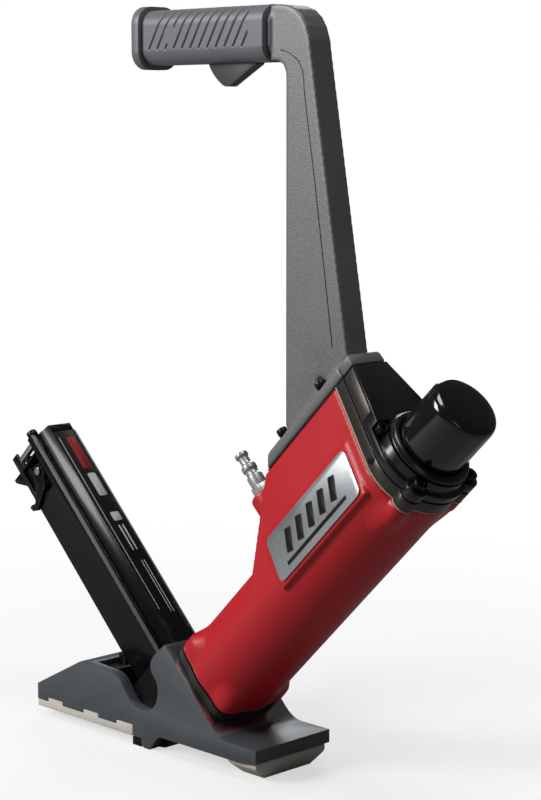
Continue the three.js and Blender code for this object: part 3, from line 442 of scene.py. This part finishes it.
def tubeAlong(name, points, radius, look, body, sides=8, closed=False):
    # a thin round line through the points
    shape = bmesh.new()
    rings = []
    count = len(points)
    for i, point in enumerate(points):
        before = points[i - 1] if i > 0 or closed else point
        after = points[(i + 1) % count] if i + 1 < count or closed else point
        way = (after - before).normalized()
        side = way.cross(acrossTool)
        side = side.normalized() if side.length > 1e-6 else Vector((1, 0, 0))
        other = way.cross(side)
        rings.append([
            shape.verts.new(point + (side * math.cos(a) + other * math.sin(a)) * radius * mm)
            for a in (2 * math.pi * k / sides for k in range(sides))
        ])
    for i in range(count if closed else count - 1):
        first, second = rings[i], rings[(i + 1) % count]
        for k in range(sides):
            shape.faces.new((first[k], first[(k + 1) % sides], second[(k + 1) % sides], second[k]))
    if not closed:
        shape.faces.new(list(reversed(rings[0])))
        shape.faces.new(rings[-1])
    bmesh.ops.recalc_face_normals(shape, faces=shape.faces)
    mesh = bpy.data.meshes.new(name)
    shape.to_mesh(mesh)
    shape.free()
    mesh.shade_smooth()
    return newPiece(name, mesh, look, body)


def roundedPlate(name, center, right, up, out, size, thick, corner, look, body, replaced=(), edge=0.3):
    # a thin plate with round corners and a soft front edge
    outlinePoints = []
    for cx, cy, start in ((1, 1, 0), (-1, 1, 90), (-1, -1, 180), (1, -1, 270)):
        for step in range(7):
            angle = math.radians(start + 15 * step)
            outlinePoints.append((cx * (size[0] / 2 - corner) + corner * math.cos(angle),
                                  cy * (size[1] / 2 - corner) + corner * math.sin(angle)))
    shape = bmesh.new()
    layers = []
    for depth, shrink in ((-thick / 2, 0.0), (thick / 2 - edge, 0.0), (thick / 2 - edge * 0.3, edge * 0.3),
                          (thick / 2, edge)):
        layer = []
        for x, y in outlinePoints:
            sx = x * (1 - 2 * shrink / size[0])
            sy = y * (1 - 2 * shrink / size[1])
            layer.append(shape.verts.new(center + (right * sx + up * sy + out * depth) * mm))
        layers.append(layer)
    count = len(outlinePoints)
    for low, high in zip(layers, layers[1:]):
        for k in range(count):
            shape.faces.new((low[k], low[(k + 1) % count], high[(k + 1) % count], high[k]))
    shape.faces.new(list(reversed(layers[0])))
    shape.faces.new(layers[-1])
    bmesh.ops.recalc_face_normals(shape, faces=shape.faces)
    mesh = bpy.data.meshes.new(name)
    shape.to_mesh(mesh)
    shape.free()
    piece = newPiece(name, mesh, look, body, replaced)
    smoothUnder(piece, 30)
    return piece


def turnedPiece(node, profile, base, way, look, sides=64):
    # a lathe-turned piece: profile holds (radius, distance along way) in millimetres and starts and ends alike
    side = way.orthogonal().normalized()
    other = way.cross(side).normalized()
    shape = bmesh.new()
    rings = []
    for radius, along in profile:
        if radius == 0:
            rings.append([shape.verts.new(base + way * along * mm)])
            continue
        rings.append([
            shape.verts.new(base + (way * along + (side * math.cos(a) + other * math.sin(a)) * radius) * mm)
            for a in (2 * math.pi * k / sides for k in range(sides))
        ])
    for first, second in zip(rings, rings[1:]):
        for k in range(sides):
            after = (k + 1) % sides
            if len(first) == 1 and len(second) == 1:
                break
            if len(first) == 1:
                shape.faces.new((first[0], second[after], second[k]))
            elif len(second) == 1:
                shape.faces.new((first[k], first[after], second[0]))
            else:
                shape.faces.new((first[k], first[after], second[after], second[k]))
    bmesh.ops.remove_doubles(shape, verts=shape.verts, dist=1e-6)
    bmesh.ops.recalc_face_normals(shape, faces=shape.faces)
    mesh = bpy.data.meshes.new(node + "_shape")
    shape.to_mesh(mesh)
    shape.free()
    piece = newPiece(node + "_piece", mesh, look, bodyOf[node], (node,))
    smoothUnder(piece, 38)
    return piece


def roundedProfile(corners, radius, steps=4):
    # the profile with each listed corner drawn as a small arc
    made = []
    for i, (r, t) in enumerate(corners):
        if i in (0, len(corners) - 1) or r == 0:
            made.append((r, t))
            continue
        before, after = Vector(corners[i - 1]), Vector(corners[i + 1])
        here = Vector((r, t))
        one, two = before - here, after - here
        cut = min(radius, one.length * 0.45, two.length * 0.45)
        start, end = here + one.normalized() * cut, here + two.normalized() * cut
        for k in range(steps + 1):
            f = k / steps
            point = start * (1 - f) ** 2 + here * 2 * f * (1 - f) + end * f ** 2
            made.append((point.x, point.y))
    return made


# castings

castings = {
    "driver_housing": dict(look="redCoat", voxel=1.25, passes=7, slot="housing"),
    "handle_frame": dict(look="handleCoat", voxel=1.2, passes=7, slot="handle"),
}
for node, values in castings.items():
    castForm(node, values["look"], values["voxel"], values["passes"])
print("castings formed")

# machined and moulded pieces

machined = {
    "foot_casting": ("footPaint", 0.7, "foot"), "rest_pad": ("wearPad", 0.6, "pad"),
    "toe_glide": ("wearPad", 1.2, "pad"), "nose_block": ("noseBlack", 0.6, "nose"),
    "base_plate": ("gasketRubber", 0.9, "base"), "plug_bushing": ("plated", 0.5, "fitting"),
    "head_gasket": ("gasketPaper", 0.15, "gasket"),
    "head_plate": ("headPlate", 0.5, "headplate"), "mid_gasket": ("gasketRubber", 0.3, "base"),
    "upper_plate": ("headPlate", 0.5, "headplate"), "head_cap": ("headBlack", 0.8, "cap"),
    "flange_gasket": ("gasketRubber", 0.15, "base"),
    "handle_heel": ("handleCoat", 0.9, "handle"), "grip_end_cap": ("gripPlastic", 1.0, "grip"),
    "grip_screw": ("boltBlack", 0.3, "bolt"), "trigger": ("triggerPlastic", 0.8, "trigger"),
    "trigger_pin": ("groundSteel", 0.2, "driver"), "magazine_cover": ("magazineBlack", 0.6, "magazine"),
    "label_strip": ("plateInk", 0.2, "label"), "cleat_rail": ("railBlack", 0.4, "rail"),
    "end_strap": ("groundSteel", 0.5, "strap"), "pusher": ("railBlack", 0.5, "rail"),
    "release_lever": ("railBlack", 0.3, "rail"), "lever_pin": ("groundSteel", 0.3, "driver"),
    "end_screw_near": ("boltBlack", 0.5, "bolt"), "end_screw_far": ("boltBlack", 0.5, "bolt"),
    "strike_stem": ("groundSteel", 0.3, "driver"),
    "piston": ("groundSteel", 0.3, "driver"), "driver_blade": ("groundSteel", 0.2, "driver"),
}
for index in range(1, 5):
    machined[f"head_bolt_{index}"] = ("boltBlack", 0.4, "bolt")
    machined[f"handle_bolt_{index}"] = ("boltBlack", 0.4, "bolt")
for node, (look, width, slot) in machined.items():
    roundedEdges(node, look, width, 2)
print("machined pieces made:", len(machined))

# turned pieces

turned = {
    "strike_cap": dict(look="capGloss", slot="cap", way=driverUp, base=onDriver(0, 0, 0), round=2.4, sides=96, corners=[
        (22.6, 371.7), (26.6, 371.7), (26.6, 414.6), (25.7, 417.6), (23.0, 419.7), (17, 421.1), (9, 421.8), (0, 422),
        (0, 401),
        (7, 401), (7, 415), (22.6, 415), (22.6, 371.7)]),
    "cap_collar": dict(look="headBlack", slot="base", way=driverUp, base=onDriver(0, 0, 0), round=0.9, sides=80,
                       corners=[(27.2, 371.4), (33, 371.4), (33, 372.8), (30.6, 375.1), (27.2, 375.2),
                                (27.2, 371.4)]),
    "air_plug": dict(look="plated", slot="fitting", way=-driverDown, base=onDriver(0, 0, 216), round=0.5, sides=40,
                     corners=[(2.4, 79.3), (4.2, 79.3), (4.2, 86.3), (6.6, 86.3), (6.6, 95.3), (5.2, 97.3),
                              (5.2, 100.3), (6.2, 101.8), (6.2, 105.3), (4.2, 107.3), (4.2, 113.3), (5.4, 114.3),
                              (5.4, 117.3), (2.4, 117.3), (2.4, 79.3)]),
}
for node, values in turned.items():
    turnedPiece(node, roundedProfile(values["corners"], values["round"]), values["base"], values["way"],
                values["look"], values["sides"])
print("turned pieces made:", len(turned))

# grip sleeve

grip = dict(halfWide=17.5, halfTall=21.1, corner=12.0, wall=3.8, around=200, along=300, pitch=9.45, firstX=-14.6,
            grooves=12, lean=0.60, grooveHalf=0.62, grooveDeep=1.2, lowZ=-10.5, endRound=0.8)


def sleeveSection(count, halfWide, halfTall, corner):
    # points round the sleeve from the middle of its underside, near side first, with the length run so far
    points, runs, run = [], [], 0.0
    flatX, flatZ = halfWide - corner, halfTall - corner
    track = [("line", (0, -halfTall), (-flatX, -halfTall)), ("arc", (-flatX, -flatZ), 270, 180),
             ("line", (-halfWide, -flatZ), (-halfWide, flatZ)), ("arc", (-flatX, flatZ), 180, 90),
             ("line", (-flatX, halfTall), (flatX, halfTall)), ("arc", (flatX, flatZ), 90, 0),
             ("line", (halfWide, flatZ), (halfWide, -flatZ)), ("arc", (flatX, -flatZ), 0, -90),
             ("line", (flatX, -halfTall), (0, -halfTall))]
    lengths = [math.dist(t[1], t[2]) if t[0] == "line" else corner * math.pi / 2 for t in track]
    total = sum(lengths)
    for k in range(count):
        run = total * k / count
        rest = run
        for part, length in zip(track, lengths):
            if rest <= length or part is track[-1]:
                break
            rest -= length
        t = rest / length
        if part[0] == "line":
            points.append((part[1][0] + (part[2][0] - part[1][0]) * t, part[1][1] + (part[2][1] - part[1][1]) * t))
        else:
            angle = math.radians(part[2] + (part[3] - part[2]) * t)
            points.append((part[1][0] + corner * math.cos(angle), part[1][1] + corner * math.sin(angle)))
        runs.append(run)
    return points, runs, total


def makeSleeve():
    low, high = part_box("grip_sleeve")
    x0, x1 = (low.x - axisX) / mm, (high.x - axisX) / mm
    midZ = (low.z + high.z) / 2 / mm
    points, runs, total = sleeveSection(grip["around"], grip["halfWide"], grip["halfTall"], grip["corner"])
    startRun = next(r for p, r in zip(points, runs) if p[1] > grip["lowZ"])
    topRun = total / 2
    shape = bmesh.new()
    rings, deep = [], set()
    for i in range(grip["along"] + 1):
        x = x0 + (x1 - x0) * i / grip["along"]
        ring = []
        ends = min(x - x0, x1 - x)
        tuck = max(0.0, grip["endRound"] - ends) ** 2 / grip["endRound"]
        for (y, z), run in zip(points, runs):
            climbed = min(run, total - run)  # the far side mirrors the near one
            sink = tuck
            if climbed > startRun:
                along = x - grip["firstX"] - grip["lean"] * (climbed - startRun)
                nearest = round(along / grip["pitch"])
                off = abs(along - nearest * grip["pitch"])
                awayFromScrew = math.hypot(x - 10.5, z - 1.0) > 7.5 or y > 0
                inside = x0 + 4 < x < 96 and 0 <= nearest < grip["grooves"] and awayFromScrew
                if inside and off < 2 * grip["grooveHalf"]:
                    sink += grip["grooveDeep"] * (0.5 + 0.5 * math.cos(math.pi * off / (2 * grip["grooveHalf"])))
            out = math.hypot(y, z)
            ring.append(shape.verts.new(onRow(x, y - y / out * sink, midZ + z - z / out * sink)))
            if sink > tuck + 0.3 * grip["grooveDeep"]:
                deep.add(ring[-1])
        rings.append(ring)
    count = grip["around"]
    for first, second in zip(rings, rings[1:]):
        for k in range(count):
            side = shape.faces.new((first[k], first[(k + 1) % count], second[(k + 1) % count], second[k]))
            if sum(corner in deep for corner in side.verts) > 2:
                side.material_index = 1  # painted shade: the groove bottoms get the dark seamShadow finish
    inner = []
    for x in (x0, x1):
        inner.append([shape.verts.new(onRow(x, y * 0.78, midZ + z * 0.82)) for y, z in points])
    for outerRing, innerRing in ((rings[0], inner[0]), (rings[-1], inner[1])):
        for k in range(count):
            shape.faces.new((outerRing[k], innerRing[k], innerRing[(k + 1) % count], outerRing[(k + 1) % count]))
    for k in range(count):
        shape.faces.new((inner[0][k], inner[1][k], inner[1][(k + 1) % count], inner[0][(k + 1) % count]))
    bmesh.ops.recalc_face_normals(shape, faces=shape.faces)
    mesh = bpy.data.meshes.new("grip_sleeve_shape")
    shape.to_mesh(mesh)
    shape.free()
    piece = newPiece("grip_sleeve_piece", mesh, "gripPlastic", "body", ("grip_sleeve",))
    mesh.materials.append(finish["seamShadow"])
    smoothUnder(piece, 50)
    return piece


makeSleeve()
print("grip made")

# trim

plate = dict(corner=5.0, barLong=82.0, barWide=3.4, slashes=5, slashWide=8.0, slashLong=19.0, pitch=15.5)


def makeNameplate():
    node = frame["nodes"]["nameplate"]
    center = middle("nameplate")
    widest = max((p for p in node.data.polygons), key=lambda p: p.area)
    out = Vector(widest.normal)
    if out.y > 0:
        out = -out
    up = driverUp
    right = up.cross(out).normalized()
    if right.z < 0:
        right = -right
    corners = [v.co - center for v in node.data.vertices]
    size = [2 * max(c.dot(right) for c in corners) / mm, 2 * max(c.dot(up) for c in corners) / mm]
    thick = 2 * max(c.dot(out) for c in corners) / mm
    roundedPlate("nameplate_piece", center, right, up, out, size, thick, plate["corner"], "brushedPlate", "body",
                 ("nameplate",))
    face = center + out * (thick / 2 * mm)
    # plain bars in place of any lettering
    roundedPlate("nameplate_bar", face - right * 12.5 * mm, right, up, out, (plate["barWide"], plate["barLong"]),
                 0.24, 0.6, "plateInk", "body", (), 0.05)
    for index in range(plate["slashes"]):
        spot = face + right * 2.5 * mm + up * (index - (plate["slashes"] - 1) / 2) * plate["pitch"] * mm
        lean = (right * 1.0 + up * 0.32).normalized()
        wide = lean.cross(out).normalized()
        roundedPlate(f"nameplate_slash_{index + 1}", spot, wide, lean, out,
                     (plate["slashWide"], plate["slashLong"]), 0.24, 1.0, "plateInk",
                     "body", (), 0.05)


def makeLabelMarks():
    center = middle("label_strip")
    top = max(v.co.dot(driverUp) for v in frame["nodes"]["label_strip"].data.vertices)
    face = center + driverUp * (top - center.dot(driverUp))
    marks = [("red", -80.0, 3.0, 34.0, 8.5, "filmRed"), ("white", -46.0, 3.0, 24.0, 8.5, "filmWhite"),
             ("box", -12.0, 3.0, 9.0, 9.0, "filmWhite"), ("line_a", 10.0, 4.5, 26.0, 1.6, "filmWhite"),
             ("line_b", 10.0, 0.5, 26.0, 1.6, "filmWhite"), ("line_c", 60.0, 5.0, 52.0, 0.7, "filmWhite"),
             ("line_d", 60.0, 2.2, 52.0, 0.7, "filmWhite"), ("edge", -8.0, -8.2, 180.0, 0.6, "filmWhite")]
    for name, along, across, long, wide, look in marks:
        spot = face + driverDown * along * mm + acrossTool * across * mm
        roundedPlate("label_mark_" + name, spot, acrossTool, driverDown, driverUp, (wide, long),
                     label["thick"], min(wide, long) * label["cornerShare"], look, "body", (),
                     label["edge"])


seam = dict(side=11.45, radius=0.42)
setScrew = dict(v=-10.5, y=-37.1, u=350.5, rim=2.5, rimWire=0.45, head=4.6)
label = dict(thick=0.16, edge=0.03, cornerShare=0.18)


def makeSeams():
    line = [(125, 543.7), (132.5, 542.0), (138.7, 538.7), (144.2, 534.5), (147.2, 528.9), (148.6, 522), (149.2, 514.7),
            (151.7, 497.7), (159.7, 451.4), (178.5, 328.3)]
    low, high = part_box("handle_frame")
    # painted shade: the post's parting line on each side is a thin tube in the dark seamShadow finish
    for side, name in ((-1, "near"), (1, "far")):
        points = [onRow(x, side * seam["side"], z) for x, z in line]
        tubeAlong("post_seam_" + name, points, seam["radius"], "seamShadow", "body")
    # a set screw in the head plate's near edge
    spot = onDriver(setScrew["v"], setScrew["y"], setScrew["u"])
    ring = [spot + (driverUp * math.cos(a) + driverDown * math.sin(a)) * setScrew["rim"] * mm
            for a in (2 * math.pi * k / 24 for k in range(24))]
    tubeAlong("plate_screw_rim", ring, setScrew["rimWire"], "boltBlack", "body", 8, True)
    size = (setScrew["head"], setScrew["head"])
    roundedPlate("plate_screw", spot + acrossTool * 0.5 * mm, driverDown, driverUp, -acrossTool, size, 1.6, 2.2,
                 "boltBlack", "body", (), 0.2)


makeNameplate()
makeLabelMarks()
makeSeams()
print("trim made")

# nodes that keep their own mesh

kept = {"cylinder_liner": "groundSteel", "piston_bumper": "gasketRubber", "piston_seal": "gasketRubber",
        "valve_body": "valvePlastic", "strike_spring": "groundSteel", "trigger_spring": "groundSteel",
        "pusher_band": "groundSteel"}
kept.update({f"foot_bolt_{index}": "boltBlack" for index in range(1, 5)})
for node, look in kept.items():
    mesh = frame["nodes"][node].data
    mesh.materials.clear()
    mesh.materials.append(finish[look])
print("kept nodes painted:", len(kept))

# floor, light and camera

floorZ = cadBounds[0].z
stageLook = dict(radius=9.0, color=(0.88, 0.88, 0.875), bounce=(0.25, 0.25, 0.25), world=0.06, white=0.62,
                 fadeFrom=0.15, fadeTo=0.9)


def makeFloor():
    shape = bmesh.new()
    bmesh.ops.create_circle(shape, cap_ends=True, segments=96, radius=stageLook["radius"])
    mesh = bpy.data.meshes.new("floor")
    shape.to_mesh(mesh)
    shape.free()
    floor = bpy.data.objects.new("floor", mesh)
    floor.location = (0, 0, floorZ)
    scene.collection.objects.link(floor)
    material = bpy.data.materials.new("studioFloor")
    material.use_nodes = True
    tree = material.node_tree
    shader = tree.nodes["Principled BSDF"]
    shader.inputs["Roughness"].default_value = 0.75
    # the floor runs out into the white of the room
    place = tree.nodes.new("ShaderNodeTexCoord")
    away = tree.nodes.new("ShaderNodeVectorMath")
    away.operation = "LENGTH"
    fade = tree.nodes.new("ShaderNodeMapRange")
    fade.interpolation_type = "SMOOTHSTEP"
    fade.inputs["From Min"].default_value = stageLook["fadeFrom"]
    fade.inputs["From Max"].default_value = stageLook["fadeTo"]
    fade.inputs["To Min"].default_value = stageLook["white"]
    path = tree.nodes.new("ShaderNodeLightPath")
    both = tree.nodes.new("ShaderNodeMath")
    both.operation = "MULTIPLY"
    room = tree.nodes.new("ShaderNodeEmission")
    room.inputs["Color"].default_value = (1, 1, 1, 1)
    blend = tree.nodes.new("ShaderNodeMixShader")
    tree.links.new(place.outputs["Object"], away.inputs[0])
    tree.links.new(away.outputs["Value"], fade.inputs["Value"])
    tree.links.new(fade.outputs["Result"], both.inputs[0])
    tree.links.new(path.outputs["Is Camera Ray"], both.inputs[1])
    tree.links.new(mixColor(tree, path.outputs["Is Camera Ray"], stageLook["bounce"], stageLook["color"]),
                   shader.inputs["Base Color"])
    tree.links.new(both.outputs["Value"], blend.inputs[0])
    tree.links.new(shader.outputs["BSDF"], blend.inputs[1])
    tree.links.new(room.outputs["Emission"], blend.inputs[2])
    tree.links.new(blend.outputs["Shader"], tree.nodes["Material Output"].inputs["Surface"])
    mesh.materials.append(material)


def makeWorld():
    world = bpy.data.worlds.new("studio")
    scene.world = world
    world.use_nodes = True
    tree = world.node_tree
    back = tree.nodes["Background"]
    path = tree.nodes.new("ShaderNodeLightPath")
    strength = tree.nodes.new("ShaderNodeMapRange")
    strength.inputs["To Min"].default_value = stageLook["world"]
    strength.inputs["To Max"].default_value = 1.0
    tree.links.new(path.outputs["Is Camera Ray"], strength.inputs["Value"])
    tree.links.new(strength.outputs["Result"], back.inputs["Strength"])
    back.inputs["Color"].default_value = (1, 1, 1, 1)


lights = {
    "keyBox": dict(at=(-1.1, -1.9, 1.4), size=(1.0, 1.2), power=65, tint=(1.0, 0.99, 0.98)),
    "topBox": dict(at=(0.5, -0.1, 2.2), size=(0.9, 0.7), power=17, tint=(0.98, 0.99, 1.0)),
    "frontBox": dict(at=(1.9, -0.7, 0.9), size=(0.35, 0.9), power=0.8, tint=(0.95, 0.98, 1.0)),
    "rimBox": dict(at=(-1.2, 1.6, 1.2), size=(0.6, 1.4), power=14, tint=(0.95, 0.98, 1.0)),
}


def makeLights():
    target = Vector((0.08, 0, 0.28))
    for name, values in lights.items():
        light = bpy.data.lights.new(name, "AREA")
        light.shape = "RECTANGLE"
        light.size, light.size_y = values["size"]
        light.energy = values["power"]
        light.color = values["tint"]
        lamp = bpy.data.objects.new(name, light)
        lamp.location = values["at"]
        lamp.rotation_euler = (target - lamp.location).to_track_quat("-Z", "Y").to_euler()
        scene.collection.objects.link(lamp)


cameraSpot = dict(x=1181.12, y=-1067.13, z=490.72, tilt=82.15, turn=45.3, lens=90.45)


def makeCamera():
    data = bpy.data.cameras.new("viewCamera")
    data.lens = cameraSpot["lens"]
    data.sensor_width = 36.0
    data.clip_end = 60.0
    camera = bpy.data.objects.new("viewCamera", data)
    camera.location = onRow(cameraSpot["x"], cameraSpot["y"], cameraSpot["z"])
    camera.rotation_euler = (math.radians(cameraSpot["tilt"]), 0, math.radians(cameraSpot["turn"]))
    scene.collection.objects.link(camera)
    scene.camera = camera


makeFloor()
makeWorld()
makeLights()
makeCamera()
scene.view_settings.view_transform = "Standard"
print("studio set")
